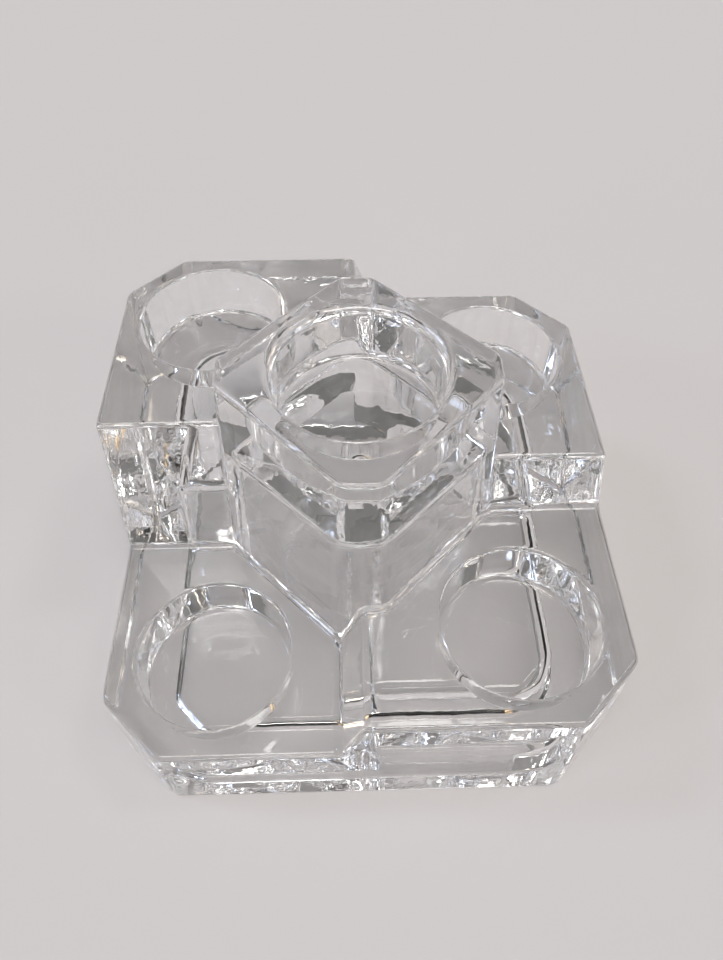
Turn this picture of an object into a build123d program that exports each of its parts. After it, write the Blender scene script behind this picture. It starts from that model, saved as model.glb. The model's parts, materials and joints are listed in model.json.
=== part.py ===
from build123d import *
from math import radians, sqrt, tan
import os

# Stepped glass holder with five open wells.
# Four corner blocks climb a spiral stair, from the front left round to the back left,
# about a taller centre block that is turned 45 degrees.  The foot is a ring, and the
# hollow inside it climbs in the same steps, so that the glass is of even thickness.
# Frame: +Z up, +X to the right, the front faces -Y, the origin is the middle of the foot.

# ---- driving dimensions (mm) ----
BASE = 130.0              # side of the square foot
CLIP = 15.75              # length taken off each side of the foot at a corner
DRAFT = 2.65              # lean of the outer walls, degrees
FIRST_TOP = 27.6          # top of the lowest block, above the foot
STEP = 14.7               # rise from one corner block to the next
CENTRE_RISE = 16.8        # rise from the highest corner block to the centre block

WELL_RADIUS = 19.2
WELL_OFFSET = 37.4        # corner wells' axes, from the middle planes
WELL_DEPTH = 14.6
MOUTH_ROUND = 1.1         # round at the mouth of a corner well
CENTRE_MOUTH_ROUND = 2.4  # round at the mouth of the centre well

WALL_RUN = 5.8            # how far a stepped wall's foot reaches over the lower block

CENTRE_FLATS = 50.5       # centre block's top, across its long flats
CENTRE_CORNERS = 63.0     # centre block's top, across its clipped corners
CENTRE_DRAFT = 3.0        # degrees

FOOT_WIDTH = 14.4         # width of the ring that the body stands on
HOLLOW_CLIP = 8.6         # length taken off each side of the hollow at a corner
HOLLOW_DRAFT = 3.5        # lean of the hollow's outer walls, degrees
FLOOR_GLASS = 9.9         # glass between each well and the hollow
CENTRE_WALL = 6.0         # glass between the centre block's sides and the hollow
HOLLOW_STEP = 1.0         # the hollow's own steps, from the middle planes

# ---- heights worked out from them ----
TOPS = [FIRST_TOP + turn * STEP for turn in range(4)]
CEILINGS = [top - WELL_DEPTH - FLOOR_GLASS for top in TOPS]
CENTRE_TOP = TOPS[3] + CENTRE_RISE
CENTRE_CEILING = CENTRE_TOP - WELL_DEPTH - FLOOR_GLASS
FAR = BASE                # farther out than any face of the body


def span(x0, x1, y0, y1, z0=0.0, z1=FAR):
    """A plain box between two corners."""
    return Pos((x0 + x1) / 2, (y0 + y1) / 2, (z0 + z1) / 2) * Box(x1 - x0, y1 - y0, z1 - z0)


def clipped_prism(flat, clip, height, draft):
    """A square prism with clipped corners that narrows as it rises; flat is half its width."""
    side = flat - clip
    corners = [
        (flat, side), (side, flat), (-side, flat), (-flat, side),
        (-flat, -side), (-side, -flat), (side, -flat), (flat, -side),
    ]
    return extrude(make_face(Polyline(*corners, close=True)), amount=height, taper=draft)


def centre_prism(inset, height):
    """The centre block's shape, drawn in by an inset, from the foot up to a height."""
    spread = CENTRE_TOP * tan(radians(CENTRE_DRAFT))
    flat = CENTRE_FLATS / 2 + spread - inset
    corner = CENTRE_CORNERS / 2 + spread - inset
    return Rot(0, 0, 45) * clipped_prism(flat, 2 * flat - sqrt(2) * corner, height, CENTRE_DRAFT)


def leaning_cut(plane, sign, foot, top):
    """The air over a stepped wall, which leans from its foot back to the middle plane."""
    outline = [
        (sign * WALL_RUN, foot), (0, top), (0, FAR),
        (sign * FAR, FAR), (sign * FAR, foot),
    ]
    return extrude(plane * make_face(Polyline(*outline, close=True)), amount=FAR, both=True)


def well(x, y, top):
    """The air in a well, which is a straight blind bore."""
    return Pos(x, y, top - WELL_DEPTH / 2) * Cylinder(WELL_RADIUS, WELL_DEPTH)


def round_mouth(block, radius):
    """Rounds the rim of the block's well."""
    rim = block.edges().filter_by(GeomType.CIRCLE).sort_by(Axis.Z)[-1]
    return fillet(rim, radius)


def hollow():
    """The air under the body: a shallow recess, three taller steps and the centre's own."""
    def step(x0, x1, y0, y1, ceiling):
        outline = clipped_prism(BASE / 2 - FOOT_WIDTH, HOLLOW_CLIP, ceiling, HOLLOW_DRAFT)
        return outline & span(x0, x1, y0, y1)

    recess = step(-FAR, FAR, -FAR, FAR, CEILINGS[0])
    right_step = step(HOLLOW_STEP, FAR, -FAR, FAR, CEILINGS[1])
    back_step = step(-FAR, FAR, HOLLOW_STEP, FAR, CEILINGS[2])
    back_left_step = step(-FAR, -HOLLOW_STEP, HOLLOW_STEP, FAR, CEILINGS[3])
    return recess + right_step + back_step + back_left_step + centre_prism(CENTRE_WALL, CENTRE_CEILING)


def corner_block(turn, region, well_place, cuts):
    """One corner block: its share of the leaning outer body, less the centre and the air."""
    block = clipped_prism(BASE / 2, CLIP, TOPS[turn], DRAFT) & span(*region)
    for cut in cuts:
        block = block - cut
    block = block - centre_prism(0, CENTRE_TOP) - HOLLOW
    return round_mouth(block - well(*well_place, TOPS[turn]), MOUTH_ROUND)


def centre_block():
    """The centre block, which stands between the four others."""
    block = centre_prism(0, CENTRE_TOP) - HOLLOW - well(0, 0, CENTRE_TOP)
    return round_mouth(block, CENTRE_MOUTH_ROUND)


HOLLOW = hollow()
NEAR = WELL_OFFSET

PARTS = {
    "front_left_block": corner_block(
        0, (-FAR, -WALL_RUN, -FAR, -WALL_RUN), (-NEAR, -NEAR), []),
    "front_right_block": corner_block(
        1, (-WALL_RUN, FAR, -FAR, -WALL_RUN), (NEAR, -NEAR),
        [leaning_cut(Plane.XZ, -1, TOPS[0], TOPS[1])]),
    "back_right_block": corner_block(
        2, (WALL_RUN, FAR, -WALL_RUN, FAR), (NEAR, NEAR),
        [leaning_cut(Plane.YZ, -1, TOPS[1], TOPS[2])]),
    "back_left_block": corner_block(
        3, (-FAR, WALL_RUN, -WALL_RUN, FAR), (-NEAR, NEAR),
        [leaning_cut(Plane.YZ, -1, TOPS[0], TOPS[3]), leaning_cut(Plane.XZ, 1, TOPS[2], TOPS[3])]),
    "centre_block": centre_block(),
}

os.makedirs("parts", exist_ok=True)
for name, shape in PARTS.items():
    export_step(shape, f"parts/{name}.step")
    print(f"{name}: {len(shape.solids())} solid, {shape.volume / 1000:.1f} cm3")
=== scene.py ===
import json
import bmesh
import bpy
import numpy as np
from math import cos, hypot, pi, radians, sin, sqrt, tan
from mathutils import Euler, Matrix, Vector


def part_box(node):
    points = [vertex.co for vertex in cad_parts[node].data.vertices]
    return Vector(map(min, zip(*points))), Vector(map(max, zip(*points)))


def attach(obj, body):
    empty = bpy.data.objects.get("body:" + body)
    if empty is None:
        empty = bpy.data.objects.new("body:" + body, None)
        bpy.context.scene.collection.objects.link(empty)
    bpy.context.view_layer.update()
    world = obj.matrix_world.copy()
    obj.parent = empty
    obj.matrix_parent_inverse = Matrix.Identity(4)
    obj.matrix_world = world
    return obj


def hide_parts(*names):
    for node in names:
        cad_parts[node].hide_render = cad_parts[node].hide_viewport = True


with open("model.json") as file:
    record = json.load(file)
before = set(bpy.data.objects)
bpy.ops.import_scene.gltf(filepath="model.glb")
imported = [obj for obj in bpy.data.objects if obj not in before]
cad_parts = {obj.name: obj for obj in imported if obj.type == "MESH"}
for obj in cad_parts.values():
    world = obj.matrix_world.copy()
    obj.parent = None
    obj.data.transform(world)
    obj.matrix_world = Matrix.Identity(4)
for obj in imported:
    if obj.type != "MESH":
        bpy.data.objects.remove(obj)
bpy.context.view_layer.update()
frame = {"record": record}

# ======================================================================================
# THE GLASS BODY
# One pressing of clear soda-lime glass: four blocks climb a spiral stair round a taller
# turned one, each with a round well.  A plunger presses it in an iron mould, which leaves
# it hollow underneath, and a flame then polishes it and rounds its edges.
# ======================================================================================

# The blocks run into each other with fillets, so the body is worked out as one field: at
# each point, in millimetres, about the distance to the surface, and negative in the glass.
MM = 1000.0
EDGE_ROUND = 1.3         # fire-polished outer edges


def rounded_meet(fields, radius):
    """The solid inside every field, its outer edges rounded: where several of the fields
    are within the radius of their surfaces, the length of their excesses replaces the
    largest, so f = min(max(f_i), -r) + sqrt(sum(max(f_i + r, 0)^2))."""
    largest = fields[0]
    excess = np.maximum(fields[0] + radius, 0) ** 2
    for field in fields[1:]:
        largest = np.maximum(largest, field)
        excess = excess + np.maximum(field + radius, 0) ** 2
    return np.minimum(largest, -radius) + np.sqrt(excess)


def filleted_join(fields, radius):
    """The solid inside any field, its inside corners filled: the same formula with its
    signs turned, f = max(min(f_i), r) - sqrt(sum(max(r - f_i, 0)^2))."""
    return -rounded_meet([-field for field in fields], radius)


def leaning_sides(x, y, z, flat, corner, lean, turn):
    """Eight fields, one for each side of a square prism with clipped corners that narrows
    as it rises: distance along the side's normal, less its distance at that height."""
    sides = []
    for k in range(8):
        angle = radians(45 * k + turn)
        reach = corner if k % 2 else flat
        out = x * cos(angle) + y * sin(angle)
        sides.append((out - reach + z * tan(radians(lean))) * cos(radians(lean)))
    return sides


def clipped_corner(flat, clip):
    """How far a square's clipped corner is from its middle: the corner's face lies on the
    line x + y = 2 flat - clip."""
    return (2 * flat - clip) / sqrt(2)


# ---- the centre block, turned 45 degrees ----
CENTRE_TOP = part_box("centre_block")[1].z * MM
CENTRE_FLAT = 25.25      # at its top, middle to a long side
CENTRE_CORNER = 31.5     # at its top, middle to a clipped corner
CENTRE_LEAN = 3.0        # degrees


def centre_sides(x, y, z, inset):
    """The centre block's eight sides, drawn in by an inset: its sizes are those of its
    top, so at the foot the lean over its whole height is added to them."""
    spread = CENTRE_TOP * tan(radians(CENTRE_LEAN)) - inset
    return leaning_sides(x, y, z, CENTRE_FLAT + spread, CENTRE_CORNER + spread, CENTRE_LEAN, 45)


# ---- the stair of corner blocks, from the front left round to the back left ----
BLOCKS = ["front_left_block", "front_right_block", "back_right_block", "back_left_block"]
TOPS = [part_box(name)[1].z * MM for name in BLOCKS]
WALL_RUN = -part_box("front_right_block")[0].x * MM
FILLET = 1.8             # inside corners, where a block meets the next


def leaning_wall(across, z, foot, top):
    """A wall that leans from WALL_RUN out at its foot back to the middle plane at its
    top: distance from that plane, positive outside the wall."""
    rise = top - foot
    return (across * rise - (top - z) * WALL_RUN) / hypot(rise, WALL_RUN)


def stair(x, y, z):
    """The stair of blocks with no outer sides: each block is the space under its top
    and behind its walls, and they join with fillets."""
    blocks = [
        z - TOPS[0],
        rounded_meet([z - TOPS[1], leaning_wall(-x, z, TOPS[0], TOPS[1])], EDGE_ROUND),
        rounded_meet([z - TOPS[2], leaning_wall(-y, z, TOPS[1], TOPS[2]), -x], EDGE_ROUND),
        rounded_meet([z - TOPS[3], leaning_wall(-y, z, TOPS[0], TOPS[3]),
                      leaning_wall(x, z, TOPS[2], TOPS[3])], EDGE_ROUND),
        rounded_meet([z - CENTRE_TOP] + centre_sides(x, y, z, 0), EDGE_ROUND),
    ]
    return filleted_join(blocks, FILLET)


# ---- the wells, in the order of the blocks, and the centre's last ----
WELLS = [mount for mount in frame["record"]["mounts"] if mount["kind"] == "bore"]
WELL_TOPS = TOPS + [CENTRE_TOP]
WELL_FILLET = 1.6        # bottom corner of a well


def well_floor(well):
    """Height of a well's flat floor: the foot of its straight wall."""
    return well["pos_m"][2] * MM - well["dims"]["length_mm"] / 2


# ---- the hollow that the plunger leaves, which climbs in the same steps ----
HALF_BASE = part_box("front_right_block")[1].x * MM
FOOT_WIDTH = 14.4        # the ring that the body stands on
HOLLOW_CLIP = 8.6        # taken off each side of the hollow at a corner
HOLLOW_LEAN = 3.5        # degrees
FLOOR_GLASS = 9.9        # glass between a well and the hollow
CENTRE_WALL = 6.0        # glass between the centre block's sides and the hollow
HOLLOW_STEP = 1.0        # the hollow's steps, from the middle planes
STEP_OVERLAP = 8.0       # how far the back right step runs in under the back left one
HOLLOW_ROUND = 2.0       # corners of the plunger
RECESS_ROUND = 1.6       # where its recess meets its sides
STEP_ROUND = 4.5         # where its taller steps meet its sides
HOLLOW_FADE = 4.0        # half the width over which one round turns into the other


def hollow(x, y, z):
    """The air under the body: a recess, three taller steps and the centre's own space,
    inside eight leaning sides.  Each ceiling is FLOOR_GLASS below its well's floor, and
    meets the sides with a round that grows from the recess to the taller steps."""
    ceilings = [well_floor(well) - FLOOR_GLASS for well in WELLS]
    steps = [
        z - ceilings[0],
        rounded_meet([z - ceilings[1], HOLLOW_STEP - x], HOLLOW_ROUND),
        rounded_meet([z - ceilings[2], HOLLOW_STEP - y, -STEP_OVERLAP - x], HOLLOW_ROUND),
        rounded_meet([z - ceilings[3], HOLLOW_STEP - y, x + HOLLOW_STEP], HOLLOW_ROUND),
        rounded_meet([z - ceilings[4]] + centre_sides(x, y, z, CENTRE_WALL), HOLLOW_ROUND),
    ]
    flat = HALF_BASE - FOOT_WIDTH
    sides = leaning_sides(x, y, z, flat, clipped_corner(flat, HOLLOW_CLIP), HOLLOW_LEAN, 0)
    share = np.clip((np.maximum(x, y) + HOLLOW_FADE) / (2 * HOLLOW_FADE), 0, 1)
    side_round = RECESS_ROUND + (STEP_ROUND - RECESS_ROUND) * share
    return rounded_meet([filleted_join(steps, HOLLOW_ROUND)] + sides, side_round)


# ---- the whole body ----
CLIP = 15.75             # taken off each side of the foot at a corner
LEAN = 2.65              # lean of the outer sides, degrees


def glass_field(points):
    """The whole body as one field, negative in the glass: the stair inside the outer
    sides and over the table, less the wells and the hollow."""
    x, y, z = points[..., 0], points[..., 1], points[..., 2]
    sides = leaning_sides(x, y, z, HALF_BASE, clipped_corner(HALF_BASE, CLIP), LEAN, 0)
    body = rounded_meet([stair(x, y, z), -z] + sides, EDGE_ROUND)
    for well, top in zip(WELLS, WELL_TOPS):
        from_axis = np.hypot(x - well["pos_m"][0] * MM, y - well["pos_m"][1] * MM)
        air = rounded_meet([from_axis - well["dims"]["r_mm"], well_floor(well) - z], WELL_FILLET)
        mouth_round = top - well_floor(well) - well["dims"]["length_mm"]
        body = rounded_meet([body, -air], mouth_round)
    return rounded_meet([body, -hollow(x, y, z)], EDGE_ROUND)


# ---- its surface ----
PITCH = 0.8              # spacing of the grid that the surface is found on
MARGIN = 1.5             # cells of the grid that lie outside the body
APPROACHES = 6           # steps that bring each point onto the surface
FURTHEST = 0.9           # cells that a point may move, so that no face turns over
LEAST_SLOPE = 0.05       # least square of the slope, so that each step is finite
FLAT_ANGLE = 0.15        # degrees, less than which two faces are one flat


def slope_of(field, points, step=0.002):
    """The field's gradient at each point, by central differences along X, Y and Z."""
    shifts = np.eye(3) * step
    return np.stack([field(points + s) - field(points - s) for s in shifts], -1) / (2 * step)


def surface_of(field, low, high, pitch):
    """The surface where a field is zero, as points and quads.  Each edge of a cubic grid
    that crosses zero gives the quad through the four cells round it, and each such cell
    has one point: it starts at the mean of its edges' crossings and steps along the
    gradient until it is on the surface."""
    margin = MARGIN * pitch
    axes = [np.arange(a - margin, b + margin + pitch, pitch) for a, b in zip(low, high)]
    flat_grid = np.stack(np.meshgrid(axes[0], axes[1], indexing="ij"), -1)
    layers = [field(np.insert(flat_grid, 2, z, -1)) for z in axes[2]]
    values = np.stack(layers, -1)
    rings, spots = [], []
    for axis in range(3):
        order = [axis, (axis + 1) % 3, (axis + 2) % 3]
        back = np.argsort(order)
        turned = values.transpose(order)
        edge = np.argwhere((turned[:-1] < 0) != (turned[1:] < 0))
        start, end = turned[:-1][tuple(edge.T)], turned[1:][tuple(edge.T)]
        spot = edge + np.outer(start / (start - end), (1, 0, 0))
        # the four cells round the edge, in a ring that faces out of the glass
        ring = np.stack([edge - (0, i, j) for i, j in ((0, 0), (1, 0), (1, 1), (0, 1))], 1)
        ring[start > 0] = ring[start > 0][:, ::-1]
        rings.append(ring[..., back])
        spots.append(np.repeat(spot[:, None, back], 4, 1))
    cells = np.ravel_multi_index(np.concatenate(rings).reshape(-1, 3).T, values.shape)
    quads = np.unique(cells, return_inverse=True)[1].reshape(-1, 4)
    spots = np.concatenate(spots).reshape(-1, 3)
    count = np.bincount(quads.ravel())
    mean = np.stack([np.bincount(quads.ravel(), spots[:, k]) / count for k in range(3)], -1)
    first = [a[0] for a in axes] + mean * pitch
    points = first
    reach = FURTHEST * pitch
    for _ in range(APPROACHES):
        slope = slope_of(field, points)
        step = field(points) / np.maximum((slope ** 2).sum(-1), LEAST_SLOPE)
        points = first + np.clip(points - slope * step[:, None] - first, -reach, reach)
    return points, quads


low = (-HALF_BASE, -HALF_BASE, 0)
high = (HALF_BASE, HALF_BASE, CENTRE_TOP)
points, quads = surface_of(glass_field, low, high, PITCH)
points[:, 2] = np.maximum(points[:, 2], 0)
mesh = bpy.data.meshes.new("glass_body")
mesh.from_pydata((points / MM).tolist(), [], quads.tolist())

# flat stretches become single faces, and the rounds keep the grid's
work = bmesh.new()
work.from_mesh(mesh)
bmesh.ops.dissolve_limit(work, angle_limit=radians(FLAT_ANGLE), verts=work.verts, edges=work.edges)
work.to_mesh(mesh)
work.free()

# the field's own slope gives each point its normal, so that the polish shows no facets
mesh.polygons.foreach_set("use_smooth", np.ones(len(mesh.polygons), bool))
places = np.empty(len(mesh.vertices) * 3)
mesh.vertices.foreach_get("co", places)
normals = slope_of(glass_field, places.reshape(-1, 3) * MM)
normals /= np.linalg.norm(normals, axis=1)[:, None]
mesh.normals_split_custom_set_from_vertices(normals.tolist())

glass_body = bpy.data.objects.new("glass_body", mesh)
bpy.context.scene.collection.objects.link(glass_body)


def linear(colour):
    """An sRGB hex colour as linear red, green, blue and alpha: each value v is v / 12.92
    when dark, and otherwise ((v + 0.055) / 1.055) to the power 2.4."""
    values = [int(colour[i:i + 2], 16) / 255 for i in (1, 3, 5)]
    return [v / 12.92 if v <= 0.04045 else ((v + 0.055) / 1.055) ** 2.4 for v in values] + [1]


def node(tree, kind, settings=None, links=None):
    """Adds one node: settings are its attributes or its inputs' values, and links join
    another node's output to an input, which has a name or a number."""
    made = tree.nodes.new(kind)
    for key, value in (settings or {}).items():
        if isinstance(key, str) and hasattr(made, key):
            setattr(made, key, value)
        else:
            made.inputs[key].default_value = value
    for key, output in (links or {}).items():
        tree.links.new(output, made.inputs[key])
    return made


# Soda-lime glass, pressed and flame-polished: clear and mirror-smooth, but the iron left
# broad waves in it and its chilled skin finer ones, so lines seen through it tremble.
SWELL_WIDTH = 13.33      # mm, from one broad wave to the next
SWELL_HEIGHT = 0.4       # mm
CHILL_WIDTH = 2.381      # mm, from one fine wave to the next
CHILL_HEIGHT = 0.05      # mm
glass = bpy.data.materials.new("clear_pressed_glass")
glass.use_nodes = True
tree = glass.node_tree
tree.nodes.clear()
place = node(tree, "ShaderNodeTexCoord")
swell = node(tree, "ShaderNodeTexNoise",
             {"Scale": MM / SWELL_WIDTH, "Detail": 1.0, "Roughness": 0.4},
             {"Vector": place.outputs["Object"]})
swells = node(tree, "ShaderNodeBump", {"Strength": 0.5, "Distance": SWELL_HEIGHT / MM},
              {"Height": swell.outputs["Fac"]})
chill = node(tree, "ShaderNodeTexNoise",
             {"Scale": MM / CHILL_WIDTH, "Detail": 1.0, "Roughness": 0.4},
             {"Vector": place.outputs["Object"]})
chills = node(tree, "ShaderNodeBump", {"Strength": 0.5, "Distance": CHILL_HEIGHT / MM},
              {"Height": chill.outputs["Fac"], "Normal": swells.outputs["Normal"]})
polish = node(tree, "ShaderNodeBsdfPrincipled",
              {"Base Color": linear("#ffffff"), "Roughness": 0.0, "IOR": 1.52,
               "Transmission Weight": 1.0},
              {"Normal": chills.outputs["Normal"]})
node(tree, "ShaderNodeOutputMaterial", {}, {"Surface": polish.outputs["BSDF"]})
mesh.materials.append(glass)

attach(glass_body, "root")
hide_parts(*BLOCKS, "centre_block")

# ======================================================================================
# THE TABLE
# A table under a plain white cotton cloth, laid flat and far wider than the glass, so
# that none of its edges comes into view.
# ======================================================================================
CLOTH_HALF = 6.0         # m, half its side
CLOTH_DROP = 0.0001      # m, how far it lies under the foot
corners = [(-CLOTH_HALF, -CLOTH_HALF), (CLOTH_HALF, -CLOTH_HALF),
           (CLOTH_HALF, CLOTH_HALF), (-CLOTH_HALF, CLOTH_HALF)]
floor_mesh = bpy.data.meshes.new("floor")
floor_mesh.from_pydata([(x, y, -CLOTH_DROP) for x, y in corners], [], [(0, 1, 2, 3)])
floor = bpy.data.objects.new("floor", floor_mesh)
bpy.context.scene.collection.objects.link(floor)

# White cotton, woven and ironed: matt, with hardly any shine.  Its faint glow is painted
# light: the cloth is no lamp, and the glow lightens the shadow under the glass.
cloth = bpy.data.materials.new("white_cotton_cloth_painted_glow")
cloth.use_nodes = True
cloth.node_tree.nodes.clear()
cloth_with_painted_glow = node(cloth.node_tree, "ShaderNodeBsdfPrincipled",
             {"Base Color": linear("#c8c4c4"), "Roughness": 0.9, "Specular IOR Level": 0.1,
              "Emission Color": linear("#fff8f4"), "Emission Strength": 0.10})
node(cloth.node_tree, "ShaderNodeOutputMaterial", {}, {"Surface": cloth_with_painted_glow.outputs["BSDF"]})
floor_mesh.materials.append(cloth)

# ======================================================================================
# THE STUDIO
# A paper tent all round the table, dim low down and lighter above, gives soft light.
# Flags of black cloth stand in it, and draw the glass's edges as dark lines, and small
# lamps with soft edges give it glints.
# ======================================================================================
STUDIO_STRENGTH = 0.78
TENT_LOW = "#4b4948"
TENT_HIGH = "#81807e"
TENT_TOP = 0.8           # share of straight up, above which the tent is evenly light
world = bpy.data.worlds.new("studio")
bpy.context.scene.world = world
world.use_nodes = True
sky = world.node_tree
sky.nodes.clear()
sight = node(sky, "ShaderNodeTexCoord").outputs["Generated"]
ways = node(sky, "ShaderNodeSeparateXYZ", {}, {"Vector": sight}).outputs
tent = node(sky, "ShaderNodeValToRGB", {}, {"Fac": ways["Z"]})
tent.color_ramp.elements[0].position = 0.0
tent.color_ramp.elements[0].color = linear(TENT_LOW)
tent.color_ramp.elements[1].position = TENT_TOP
tent.color_ramp.elements[1].color = linear(TENT_HIGH)

# a ring of flags stands round the table, low down
FLAG_COUNT = 9
FLAG_SHARE = 0.42        # of the ring that the flags cover
FLAG_TURN = -85          # degrees, the first flag's middle
FLAG_EDGE = 0.04         # softness of a flag's sides, as a share of the ring's step
FLAG_FOOT = (0.0, 0.08)  # shares of straight up where a flag's foot is gone, and whole
FLAG_HEAD = (0.5, 0.38)  # the same for its head
MIX_UNDER, MIX_OVER, MIX_RESULT = 6, 7, 2    # a Mix node's colour inputs and output
bearing = node(sky, "ShaderNodeMath", {"operation": "ARCTAN2"}, {0: ways["X"], 1: ways["Y"]})
count = node(sky, "ShaderNodeMath",
             {"operation": "MULTIPLY_ADD", 1: FLAG_COUNT / (2 * pi),
              2: FLAG_COUNT * (1 - FLAG_TURN / 360)},
             {0: bearing.outputs[0]})
swing = node(sky, "ShaderNodeMath", {"operation": "PINGPONG", 1: 0.5}, {0: count.outputs[0]})
masks = []
for source, (shut, full) in [
        (swing.outputs[0], (FLAG_SHARE / 2 + FLAG_EDGE, FLAG_SHARE / 2 - FLAG_EDGE)),
        (ways["Z"], FLAG_FOOT),
        (ways["Z"], FLAG_HEAD)]:
    masks.append(node(sky, "ShaderNodeMapRange",
                      {"interpolation_type": "SMOOTHSTEP", "From Min": shut, "From Max": full},
                      {"Value": source}).outputs[0])
tall = node(sky, "ShaderNodeMath", {"operation": "MULTIPLY"}, {0: masks[1], 1: masks[2]})
flag = node(sky, "ShaderNodeMath", {"operation": "MULTIPLY"}, {0: masks[0], 1: tall.outputs[0]})
flags = node(sky, "ShaderNodeMix", {"data_type": "RGBA", MIX_OVER: linear("#332d2a")},
             {0: flag.outputs[0], MIX_UNDER: tent.outputs["Color"]})
light = flags.outputs[MIX_RESULT]


def panel(under, turn, rise, wide, tall, edge, colour, strength):
    """Lays a soft-edged rectangle over the light from all round.  Its middle is at a turn
    from +Y to +X and a rise above the table, in degrees, and its half-sizes and the width
    of its edge are tangents of angles: a sight line meets it where its two offsets from
    the middle, divided by its share along the middle, are inside the half-sizes."""
    a, b = radians(turn), radians(rise)
    ahead = (sin(a) * cos(b), cos(a) * cos(b), sin(b))
    across = (cos(a), -sin(a), 0)
    up = (-sin(a) * sin(b), -cos(a) * sin(b), cos(b))
    shares = []
    for axis in (ahead, across, up):
        dot = node(sky, "ShaderNodeVectorMath", {"operation": "DOT_PRODUCT", 1: axis}, {0: sight})
        shares.append(dot.outputs["Value"])
    cover = node(sky, "ShaderNodeMath", {"operation": "GREATER_THAN", 1: 0.0}, {0: shares[0]})
    for share, half in zip(shares[1:], (wide, tall)):
        offset = node(sky, "ShaderNodeMath", {"operation": "DIVIDE"}, {0: share, 1: shares[0]})
        size = node(sky, "ShaderNodeMath", {"operation": "ABSOLUTE"}, {0: offset.outputs[0]})
        inside = node(sky, "ShaderNodeMapRange",
                      {"interpolation_type": "SMOOTHSTEP", "From Min": half + edge,
                       "From Max": half - edge},
                      {"Value": size.outputs[0]})
        cover = node(sky, "ShaderNodeMath", {"operation": "MULTIPLY"},
                     {0: cover.outputs[0], 1: inside.outputs[0]})
    glow = [strength * v for v in linear(colour)[:3]] + [1]
    mix = node(sky, "ShaderNodeMix", {"data_type": "RGBA", MIX_OVER: glow},
               {0: cover.outputs[0], MIX_UNDER: under})
    return mix.outputs[MIX_RESULT]


# turn, rise, half-width, half-height, soft edge, colour and strength of each
PANELS = [
    (0, 8, 1.0, 0.20, 0.10, "#a8a3a0", 1.0),         # grey card, behind
    (-82, 12, 0.40, 0.25, 0.06, "#1e1a18", 1.0),     # black flag, on the left
    (75, 25, 0.40, 0.30, 0.06, "#161312", 1.0),      # black flag, on the right
    (180, 30, 0.45, 0.45, 0.08, "#1e1a18", 1.0),     # black flag, in front
    (180, 77, 0.34, 0.16, 0.04, "#fffdfa", 12.5),    # the main lamp, overhead
    (-75, 48, 0.07, 0.10, 0.02, "#d4e4ff", 16.0),    # three cool lamps, on the left
    (-112, 32, 0.06, 0.12, 0.02, "#cfe0ff", 14.0),
    (-132, 16, 0.05, 0.08, 0.02, "#e8f0ff", 12.0),
    (75, 60, 0.06, 0.08, 0.02, "#ffffff", 14.0),     # white lamp, on the right
    (120, 26, 0.06, 0.12, 0.02, "#fff0dc", 11.0),    # two warm lamps, in front on the right
    (155, 18, 0.12, 0.05, 0.03, "#ffdcae", 6.0),
]
for sizes in PANELS:
    light = panel(light, *sizes)
studio = node(sky, "ShaderNodeBackground", {"Strength": STUDIO_STRENGTH}, {"Color": light})

# behind the table hangs plain pale paper, and the flags and lamps are out of shot
paper = node(sky, "ShaderNodeBackground", {"Color": linear("#d4d0d0"), "Strength": 1.0})
ray = node(sky, "ShaderNodeLightPath")
shot = node(sky, "ShaderNodeMixShader", {},
            {"Fac": ray.outputs["Is Camera Ray"], 1: studio.outputs["Background"],
             2: paper.outputs["Background"]})
node(sky, "ShaderNodeOutputWorld", {}, {"Surface": shot.outputs["Shader"]})

# ======================================================================================
# THE CAMERA
# A small camera with a wide lens, held close in front of the glass and high up, looks
# steeply down into its wells.
# ======================================================================================
CAMERA_PLACE = (-0.0024, -0.1134, 0.2006)
CAMERA_DIP = 53.33       # degrees below level
CAMERA_TURN = -1.52      # degrees, to the right
FOCAL_LENGTH = 27.43     # mm, on a 36 mm sensor
SENSOR_WIDTH = 36.0
camera_data = bpy.data.cameras.new("camera")
camera_data.sensor_width = SENSOR_WIDTH
camera_data.lens = FOCAL_LENGTH
camera_data.clip_start = 0.005
camera = bpy.data.objects.new("camera", camera_data)
camera.location = CAMERA_PLACE
camera.rotation_euler = Euler((radians(90 - CAMERA_DIP), 0, radians(CAMERA_TURN)), "XYZ")
bpy.context.scene.collection.objects.link(camera)
bpy.context.scene.camera = camera

# light crosses and glances off many faces of the glass before it leaves
FACES_MET = 32
bpy.context.scene.cycles.max_bounces = FACES_MET
bpy.context.scene.cycles.transmission_bounces = FACES_MET
bpy.context.scene.cycles.glossy_bounces = FACES_MET
bpy.context.scene.view_settings.view_transform = "Standard"
